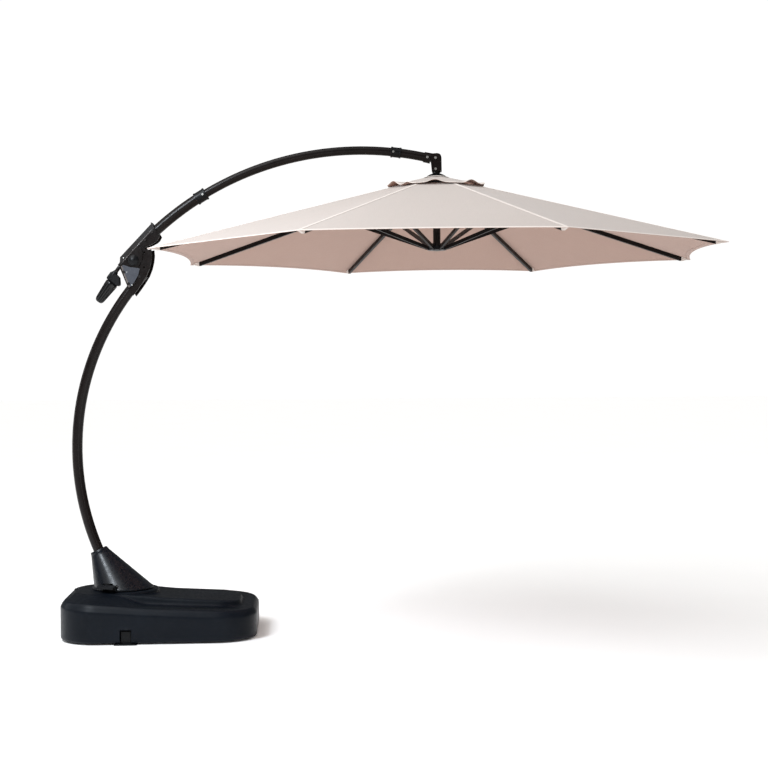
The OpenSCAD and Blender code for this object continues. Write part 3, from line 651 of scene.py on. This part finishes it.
def raised_z(x):
    return eased(x, [-0.24, -0.205, 0.0, 0.12, 0.248, 0.53, 0.60, 0.62],
                 [0.2265, 0.227, 0.226, 0.2145, 0.200, 0.185, 0.177, 0.174], 0.03)


# the notch in each long side: where its walls start and end, for the water and for the shell
NOTCH = (0.0195, 0.0205, 0.0755, 0.0765)
NOTCH_DEEP = 0.034
SIDE_Y = 0.3                            # points further out than this are on a long side
TS = sorted(set(list(np.linspace(0, 1, 21)) + [(x + 0.1) / 0.595 for x in NOTCH]))


def tank_ring(x0, x1, y0, y1, r):
    """Points round a rounded rectangle, anticlockwise from front left, in the tank's own frame."""
    def arc(cx, cy, a0):
        return [(cx + r * math.cos(math.radians(a0 + a)), cy + r * math.sin(math.radians(a0 + a)))
                for a in np.linspace(0, 90, 17)[1:-1]]

    def run(t):
        return x0 + r + t * (x1 - x0 - 2 * r)

    steps = [y0 + r + t * (y1 - y0 - 2 * r) for t in np.linspace(0, 1, 9)]
    return ([(run(t), y0) for t in TS] + arc(x1 - r, y0 + r, -90)
            + [(x1, y) for y in steps] + arc(x1 - r, y1 - r, 0)
            + [(run(t), y1) for t in reversed(TS)] + arc(x0 + r, y1 - r, 90)
            + [(x0, y) for y in reversed(steps)] + arc(x0 + r, y0 + r, 180))


def outline(inset):
    return tank_ring(-0.300 + inset, 0.695 - inset, -0.388 + inset, 0.362 - inset, 0.200 - inset)


def raised(inset):
    return tank_ring(-0.230 + inset, 0.610 - inset, -0.210 + inset, 0.184 - inset, 0.110 - inset)


def lerp(a, b, t):
    return [((1 - t) * p[0] + t * q[0], (1 - t) * p[1] + t * q[1]) for p, q in zip(a, b)]


def round_ring(r, like):
    return [(r * math.cos(math.atan2(y, x)), r * math.sin(math.atan2(y, x))) for x, y in like]


def fade(x):
    """One left of the swivel, where the raised panel melts into the shoulder, else nought."""
    t = min(max((0.15 - x) / 0.20, 0.0), 1.0)
    return t * t * (3 - 2 * t)


def shoulder(x, t, dip):
    return lid_z(x) - dip * (1 - fade(x)) + fade(x) * 0.86 * t * (raised_z(x) - lid_z(x))


def lip(x, share):
    return (1 - share) * shoulder(x, 1.0, 0.0036) + share * raised_z(x)


def tank_skin(name, rings, notched, x0, x1, mat):
    """A closed skin through rings of points, the last joined to the first; notched says which rings
    step in between x0 and x1."""
    nv = len(rings[0][0])
    verts, faces = [], []
    for k, (pts, height) in enumerate(rings):
        for x, y in pts:
            py = y
            if k in notched and x0 - 1e-4 < x < x1 + 1e-4:
                py = y + (NOTCH_DEEP if y < -SIDE_Y else -NOTCH_DEEP if y > SIDE_Y else 0)
            verts.append(base_pt(x, py, height(x, y)))
    for k in range(len(rings)):
        q = ((k + 1) % len(rings)) * nv
        for j in range(nv):
            faces.append((k * nv + j, k * nv + (j + 1) % nv, q + (j + 1) % nv, q + j))
    return piece(name, verts, faces, mat, "base", angle=48, outward=True)


def level(z):
    return lambda x, y: z


seat_like = raised(0.016)
rings = [(round_ring(0.0785, seat_like), level(0.008))]
for inset, z in ((0.012, 0.008), (0.005, 0.0095), (0.0015, 0.014), (0.0, 0.022), (0.0, 0.045),
                 (0.0, 0.0735), (0.0, 0.0745), (0.0, 0.100)):
    rings.append((outline(inset), level(z)))
for inset, f in ((0.0, -0.012), (0.0004, -0.005), (0.0017, 0.0005), (0.0046, 0.0042)):
    rings.append((outline(inset), lambda x, y, f=f: wall_z(x) + f))
for inset, g in ((0.0090, 0.62), (0.0150, 0.34), (0.0195, 0.13), (0.0228, 0.04), (0.0270, 0.008),
                 (0.0340, 0.0)):
    rings.append((outline(inset), lambda x, y, g=g: lid_z(x) - g * (lid_z(x) - wall_z(x) - 0.0042)))
edge = outline(0.034)
for t, dip in ((0.12, 0.0006), (0.35, 0.0018), (0.65, 0.0028), (0.90, 0.0034)):
    rings.append((lerp(edge, raised(-0.014), t), lambda x, y, t=t, dip=dip: shoulder(x, t, dip)))
for grow, share in ((-0.014, 0.0), (-0.008, 0.05), (-0.003, 0.22), (0.001, 0.55), (0.004, 0.83),
                    (0.008, 0.96), (0.014, 1.0)):
    rings.append((raised(grow), lambda x, y, share=share: lip(x, share)))
for t in (0.1, 0.25, 0.4, 0.55, 0.7, 0.82, 0.92, 1.0):
    rings.append((lerp(seat_like, round_ring(0.186, seat_like), t), lambda x, y: raised_z(x)))
rings.append((round_ring(0.1800, seat_like), lambda x, y: raised_z(x)))
for r, z in ((0.1775, 0.2262), (0.1765, 0.2272), (0.1735, 0.2280), (0.1660, 0.2280),
             (0.1645, 0.2268), (0.1620, 0.2268), (0.1605, 0.2280), (0.1400, 0.2280),
             (0.0920, 0.2280), (0.0810, 0.2280), (0.0790, 0.2270), (0.0785, 0.2240),
             (0.0785, 0.1000)):
    rings.append((round_ring(r, seat_like), level(z)))
tank_shell = tank_skin("tank_shell", rings, range(1, 7), NOTCH[1], NOTCH[2], tank_plastic)
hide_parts("base_tank")

rings = []
for inset, z in ((0.020, 0.013), (0.012, 0.016), (0.010, 0.024), (0.010, 0.060), (0.010, 0.090)):
    rings.append((outline(inset), level(z)))
for inset, f in ((0.010, -0.030), (0.016, -0.016), (0.028, -0.006)):
    rings.append((outline(inset), lambda x, y, f=f: wall_z(x) + f))
for pts in (outline(0.045), outline(0.070), outline(0.100), round_ring(0.120, seat_like),
            round_ring(0.0840, seat_like)):
    rings.append((pts, lambda x, y: lid_z(x) - 0.014))
rings.append((round_ring(0.0840, seat_like), level(0.013)))
water_body = tank_skin("water_body", rings, range(8), NOTCH[0], NOTCH[3], water.m)
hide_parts("water_ballast")


# ---------------------------------------------------------------- swivel cone
CONE_X = -0.007                         # the foot ring's centre
CONE_TOP = Vector((-0.134, 0, 0.425))
CONE_LEAN = Vector((-0.4147, 0, 0.91))  # square to the top ring
CONE_ACROSS = Vector((0.91, 0, 0.4147))
CONE_R, CONE_R_TOP = 0.150, 0.044
SIDEWAYS = Vector((0, 1, 0))


def cone_point(k, phi, grow=0.0, up=0.0):
    """A point at share k from the foot ring to the top ring, both grown by the same amount."""
    r0, r1 = CONE_R + grow, CONE_R_TOP + grow
    b = Vector((CONE_X + r0 * math.cos(phi), r0 * math.sin(phi), 0.2415))
    t = CONE_TOP + CONE_LEAN * up + r1 * (math.cos(phi) * CONE_ACROSS + math.sin(phi) * SIDEWAYS)
    return b.lerp(t, k)


# the pedal's slot, from its left edge to its right edge
SLOT_A, SLOT_B = math.radians(-118.1), math.radians(-91.5)
phis = sorted(set(list(np.radians(np.arange(-180, 180, 3.0))) + [SLOT_A, SLOT_B]))
ja, jb = phis.index(SLOT_A), phis.index(SLOT_B)
rows = []
for r, z in ((0.1505, 0.2330), (0.1565, 0.2330), (0.1570, 0.2345), (0.1567, 0.2372),
             (0.1552, 0.2388), (0.1530, 0.2394), (0.1514, 0.2400)):
    rows.append([Vector((CONE_X + r * math.cos(a), r * math.sin(a), z)) for a in phis])
for k in (0.0, 0.03, 0.07, 0.11, 0.152, 0.20, 0.30, 0.42, 0.55, 0.68, 0.80, 0.90, 0.955):
    rows.append([cone_point(k, a) for a in phis])
for k, grow, up in ((0.965, 0.0012, 0.0), (0.985, 0.0018, 0.0), (1.0, 0.0014, 0.002),
                    (1.0, 0.0002, 0.0042), (1.0, -0.003, 0.0052), (1.0, -0.010, 0.0050),
                    (1.0, -0.0135, 0.0038), (1.0, -0.0150, 0.0010), (1.0, -0.0150, -0.010)):
    rows.append([cone_point(k, a, grow, up) for a in phis])
n_out = len(rows)
for k, grow, up in ((1.0, -0.006, -0.012), (0.80, -0.004, 0), (0.55, -0.004, 0), (0.30, -0.004, 0),
                    (0.152, -0.004, 0), (0.0, -0.004, 0)):
    rows.append([cone_point(k, a, grow, up) for a in phis])
nu, nc = len(rows), len(phis)
verts = [v for row in rows for v in row]
faces = []
top_o, top_i = 11, n_out + 4            # the slot's top row outside and inside
for i in range(nu):
    q = ((i + 1) % nu) * nc
    for j in range(nc):
        if ja <= j < jb and (i < top_o or i >= top_i):
            continue
        faces.append((i * nc + j, i * nc + (j + 1) % nc, q + (j + 1) % nc, q + j))
for j in (ja, jb):
    faces.append(tuple(i * nc + j for i in list(range(top_o + 1)) + [top_i, nu - 1]))
for j in range(ja, jb):
    faces.append((top_o * nc + j, top_o * nc + j + 1, top_i * nc + j + 1, top_i * nc + j))
cone_cover = piece("cone_cover", verts, faces, cone_plastic, "mast", angle=38, outward=True)
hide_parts("swivel_cone")


# ---------------------------------------------------------------- crank
CRANK = Vector((-0.0136, 0, 1.9019))
CA = math.radians(52.7)
C_OUT = Vector((-math.cos(CA), 0, -math.sin(CA)))
C_UP = Vector((-math.sin(CA), 0, math.cos(CA)))


def crank_pt(x, y, z):
    """x up and left, y sideways, z out along the crank, in millimetres."""
    return CRANK + (C_UP * x + SIDEWAYS * y + C_OUT * z) / 1000


EDGE_STEPS = 3


def rounded_slab(name, shape, half, edge, place, mat, body, angle=50):
    """An outline extruded both ways by half, its rims rounded by edge, put down by place."""
    n = len(shape)
    area2 = sum(shape[k][0] * shape[(k + 1) % n][1] - shape[(k + 1) % n][0] * shape[k][1]
                for k in range(n))
    pts = shape if area2 > 0 else shape[::-1]
    norm = []
    for k in range(n):
        ax, ay = pts[k - 1]
        bx, by = pts[k]
        cx, cy = pts[(k + 1) % n]
        e1 = Vector((bx - ax, by - ay)).normalized()
        e2 = Vector((cx - bx, cy - by)).normalized()
        n1, n2 = Vector((-e1.y, e1.x)), Vector((-e2.y, e2.x))
        m = n1 + n2
        norm.append(m / max(0.35, m.dot(n1)))
    turns = [math.pi / 2 * t / EDGE_STEPS for t in range(EDGE_STEPS + 1)]
    prof = [(edge * (1 - math.sin(a)), half - edge * (1 - math.cos(a))) for a in turns]
    prof = [(d, -w) for d, w in prof] + [(d, w) for d, w in reversed(prof)]
    prof = [(edge * 2.2, -half)] + prof + [(edge * 2.2, half)]
    rows = [[place(pts[k][0] + norm[k].x * d, pts[k][1] + norm[k].y * d, w) for k in range(n)]
            for d, w in prof]
    return loft(name, rows, mat, body, angle)


def curve_corners(shape, r, n=4):
    """Rounds each corner of an outline by about r."""
    out = []
    m = len(shape)
    for k in range(m):
        a, b, c = Vector(shape[k - 1]), Vector(shape[k]), Vector(shape[(k + 1) % m])
        d = min(r, 0.45 * (a - b).length, 0.45 * (c - b).length)
        p, q = b + (a - b).normalized() * d, b + (c - b).normalized() * d
        for t in range(n + 1):
            t /= n
            v = p * (1 - t) ** 2 + b * 2 * t * (1 - t) + q * t * t
            out.append((v.x, v.y))
    return out


def turned(name, prof, place, mat, body, n=64, angle=35, radius=None):
    """A turned piece from (radius, height) pairs; radius(r, turn, height) may shape it."""
    rows = []
    for r, h in prof:
        ring = []
        for k in range(n):
            a = 2 * math.pi * k / n
            q = radius(r, a, h) if radius else r
            ring.append(place(q * math.cos(a), q * math.sin(a), h))
        rows.append(ring)
    return loft(name, rows, mat, body, angle)


FLUTES = 9
RIDGE, GROOVE = 1.1, 3.4


def fluted(r, a, z):
    """The grip's finger grooves, fading out at both ends."""
    full = min(1.0, max(0.0, (z - 94) / 14)) * min(1.0, max(0.0, (206 - z) / 12))
    return r + RIDGE * full - full * GROOVE * (0.5 + 0.5 * math.cos(FLUTES * a)) ** 2.2


grip_prof = [(10, 85.6), (24, 85.6), (29.5, 86.6), (32, 89), (33, 93), (32.6, 98), (31.8, 104),
             (31, 112), (30, 120), (29.1, 130), (28.2, 140), (27.3, 150), (26.4, 160), (25.5, 170),
             (24.6, 180), (23.7, 188), (22.3, 196), (20.4, 202), (17.4, 206.6), (12.5, 209.4),
             (6, 210.4), (0.8, 210.6)]
grip = turned("crank_handle", grip_prof, lambda x, y, z: crank_pt(x - 19, y, z), grip_rubber,
              "grip", 144, 60, fluted)
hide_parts("crank_grip")
arm_shape = curve_corners([(-36, 40), (-16, 37), (14, 37), (20, 44), (20, 79), (15, 85), (-50, 85),
                           (-59, 78), (-61, 69)], 5)
lever = rounded_slab("crank_lever", arm_shape, 15, 3.2, lambda u, v, w: crank_pt(u, w, v),
                     black_plastic, "crank")
turned("crank_collar", [(8.3, 27), (12.6, 27), (13.5, 28), (13.5, 33), (14.6, 34.5), (16.6, 38),
                        (17, 42), (17, 82), (16, 83.6), (8, 83.6)],
       crank_pt, black_plastic, "crank", 48, 40)
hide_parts("crank_arm")
turned("crank_sleeve", [(8.6, -4), (9.6, -4), (10, -3), (10, 24), (9.6, 26.5), (8.6, 26.5)],
       crank_pt, bronze_dark, "crank", 40, 40)

# ---------------------------------------------------------------- elbow
ELBOW_X, ELBOW_Z = 0.07, 1.935          # the arm's pivot
EA = math.radians(48.74)                # lean of the head plates
BA = math.radians(46.2)                 # lean of the arm's bracket
PLATE_Y = 45.0                          # middle of an insert, sideways, in millimetres
RIM_Y = 45.4


def elbow_pt(angle, u, v, w):
    """u along and v across a leaning part, w sideways from the middle, in millimetres."""
    return Vector((ELBOW_X + (u * math.cos(angle) - v * math.sin(angle)) / 1000, w / 1000,
                   ELBOW_Z + (u * math.sin(angle) + v * math.cos(angle)) / 1000))


INSERT = [(-65, 25), (-118, -72), (-113, -80), (-84, -79), (-41, -71), (-9, -55), (-20, -36),
          (-38, -10), (-46, 10), (-52, 24)]
RIM_SHAPE = [(-66, 28), (-121, -73), (-117, -79), (-113, -74), (-62, 20), (-60, 27)]
BEAD = ((-57, 33.5), (-40, 36), (0, 37.6), (60, 38.8), (120, 39.2), (170, 40.2), (196, 42.5))
BEAD_R, BEAD_END_R = 0.0014, 0.0006
SCREW = [(0.5, 0), (3.9, 0), (4.0, 0.5), (3.6, 1.5), (2.2, 2.1), (1.9, 1.3), (0.3, 1.3)]

for tag, s in (("left", -1), ("right", 1)):
    shape = curve_corners(INSERT, 5)
    rounded_slab(f"elbow_insert_{tag}", shape, 0.8, 0.7,
                 lambda u, v, w, s=s: elbow_pt(EA, u, v, s * PLATE_Y + w),
                 insert_plastic, "mast", 60)
    # the rim along the plate's edge, in the lighter bronze: a painted highlight
    shape = curve_corners(RIM_SHAPE, 1.5, 2)
    rounded_slab(f"elbow_rim_highlight_{tag}", shape, 1.3, 0.8,
                 lambda u, v, w, s=s: elbow_pt(EA, u, v, s * RIM_Y + w),
                 painted_highlight_bronze, "mast", 60)
    # a bead along the bracket's knee, in the lighter bronze: a painted highlight
    knee = []
    for u, v in BEAD:
        x, z = u * math.cos(BA) - v * math.sin(BA), u * math.sin(BA) + v * math.cos(BA)
        y = s * (0.0324 - max(0, v - 35.5) * 0.000306)
        knee.append(Vector((ELBOW_X + x / 1000, y, ELBOW_Z + z / 1000)))
    rows = []
    for k, c in enumerate(knee):
        t = (knee[min(k + 1, len(knee) - 1)] - knee[max(k - 1, 0)]).normalized()
        up_v = t.cross(SIDEWAYS).normalized()
        r = BEAD_R if 0 < k < len(knee) - 1 else BEAD_END_R
        rows.append([c + (SIDEWAYS * math.cos(a) + up_v * math.sin(a)) * r
                     for a in np.linspace(0, 2 * math.pi, 13)[:-1]])
    loft(f"bracket_bead_highlight_{tag}", rows, painted_highlight_bronze, "arm", 60)
    turned(f"bracket_screw_{tag}", SCREW,
           lambda x, y, h, s=s: elbow_pt(BA, -27 + x, 49 + y, s * (29.6 + h)), zinc, "arm", 24, 40)
    for kind, u, v, r in (("small", -68, -15, 3.0), ("guard", -100, -80, 3.6)):
        head = [(0.6, 0), (r * 0.98, 0), (r, 0.4), (r * 0.9, 1.2), (r * 0.55, 1.7), (r * 0.5, 1.1),
                (0.3, 1.1)]
        turned(f"elbow_screw_{kind}_{tag}", head,
               lambda x, y, h, s=s, u=u, v=v: elbow_pt(EA, u + x, v + y, s * (45.7 + h)),
               zinc, "mast", 24, 40)


# ---------------------------------------------------------------- pedal ears, collar
PEDAL = math.radians(-107.4)


def pedal_pt(r, d, z):
    """r out towards the pedal, d sideways, z up, in millimetres."""
    return Vector(((r * math.cos(PEDAL) - d * math.sin(PEDAL)) / 1000,
                   (r * math.sin(PEDAL) + d * math.cos(PEDAL)) / 1000, z / 1000))


for tag, s in (("left", -1), ("right", 1)):
    shape = curve_corners([(130, 236), (154, 236), (152, 258), (147, 263), (137, 263),
                           (131, 257)], 4)
    rounded_slab(f"pedal_ear_{tag}", shape, 3.3, 1.0,
                 lambda u, v, w, s=s: pedal_pt(u, s * 37.5 + w, v), cone_plastic, "mast", 45)


def cap_top(r):
    return 2351.5 - (r - 43) * SLOPE


collar_prof = [(22, 2353.4), (30, 2353.4)]
for r, above in ((47, 1.5), (60, 1.4), (63, 1.2), (65.4, 0.8), (65.0, 0.2), (60, 0.2), (47, 0.3)):
    collar_prof.append((r, cap_top(r) + above))
collar_prof += [(30, 2352.4), (22, 2352.4)]
turned("cap_collar", collar_prof, lambda x, y, h: Vector((AX + x / 1000, y / 1000, h / 1000)),
       thread_tape, "arm", 64, 30)


# ---------------------------------------------------------------- camera, floor and light
cam_data = bpy.data.cameras.new("camera")
cam = bpy.data.objects.new("camera", cam_data)
bpy.context.scene.collection.objects.link(cam)
cam_data.sensor_width = 36
cam_data.lens = 68.53
cam_data.clip_start, cam_data.clip_end = 0.1, 100
CAM_AT = (1.745, -7.552, 1.364)
yaw, pitch, roll = (math.radians(v) for v in (2.88, -0.6, -0.41))
ahead = Vector((-math.sin(yaw) * math.cos(pitch), math.cos(yaw) * math.cos(pitch), math.sin(pitch)))
right = Vector((math.cos(yaw), math.sin(yaw), 0))
up = right.cross(ahead)
right, up = (right * math.cos(roll) + up * math.sin(roll),
             up * math.cos(roll) - right * math.sin(roll))
cam.matrix_world = Matrix([(right[k], up[k], -ahead[k], CAM_AT[k]) for k in range(3)]
                          + [(0, 0, 0, 1)])
bpy.context.scene.camera = cam

floor_mat = Mat("studio_floor")
fn = floor_mat.noise(floor_mat.coords(), 1.2, 4, 0.6)
fn = floor_mat.span(fn, 0.3, 0.7, 0, 1)
floor_mat.set(Base_Color=floor_mat.mix(fn, (0.958, 0.956, 0.953), (0.972, 0.970, 0.968)),
              Roughness=0.85)
floor_mat.b.inputs["Specular IOR Level"].default_value = 0.2
FLOOR, FLOOR_Z = 60.0, -0.0005
corners = [(x * FLOOR, y * FLOOR, FLOOR_Z) for x, y in ((-1, -1), (1, -1), (1, 1), (-1, 1))]
floor = piece("studio_floor", corners, [(0, 1, 2, 3)], floor_mat.m)

world = bpy.data.worlds.new("studio")
bpy.context.scene.world = world
world.use_nodes = True
wt = world.node_tree
bg = wt.nodes["Background"]
path = wt.nodes.new("ShaderNodeLightPath")


def blend_by(flag, low, high):
    """low for other rays and high for rays of this kind."""
    n = wt.nodes.new("ShaderNodeMix")
    wt.links.new(path.outputs[flag], n.inputs[0])
    for k, v in ((2, low), (3, high)):
        if isinstance(v, float):
            n.inputs[k].default_value = v
        else:
            wt.links.new(v, n.inputs[k])
    return n.outputs[0]


# a white backdrop for the camera, dim in reflections so that dark parts stay dark
strength = blend_by("Is Camera Ray", blend_by("Is Glossy Ray", 0.80, 0.12), 1.04)
bg.inputs[0].default_value = (1.0, 0.998, 0.995, 1)
wt.links.new(strength, bg.inputs[1])


def lamp(name, kind, place, aim, power, color=(1, 1, 1), size=None, soft=0.0):
    d = bpy.data.lights.new(name, kind)
    if kind == "AREA":
        d.shape = "RECTANGLE"
        d.size, d.size_y = size
    else:
        d.angle = soft
    d.energy = power
    d.color = color
    o = bpy.data.objects.new(name, d)
    bpy.context.scene.collection.objects.link(o)
    o.location = place
    o.rotation_mode = "QUATERNION"
    o.rotation_quaternion = (Vector(aim) - Vector(place)).to_track_quat("-Z", "Y")


lamp("key", "SUN", (-4.0, -3.5, 8.0), (0.0, 0, 0.0), 1.15, (1, 0.99, 0.97), soft=math.radians(75))
lamp("strip_cone", "AREA", (-1.05, -2.45, 3.4), (-0.03, -0.1, 0.33), 110, (0.84, 0.92, 1.0),
     size=(0.24, 1.9))
lamp("rim_left", "AREA", (-3.6, 0.9, 1.9), (0.0, 0, 1.4), 15, size=(0.6, 2.4))
lamp("rim_right", "AREA", (3.6, -4.6, 1.0), (0.0, 0, 1.0), 14, size=(0.5, 2.0))
lamp("overhead", "AREA", (-0.6, -1.2, 4.6), (0.4, 0, 1.5), 26, size=(1.4, 2.6))

bpy.context.scene.view_settings.view_transform = "Standard"
bpy.context.scene.view_settings.look = "None"
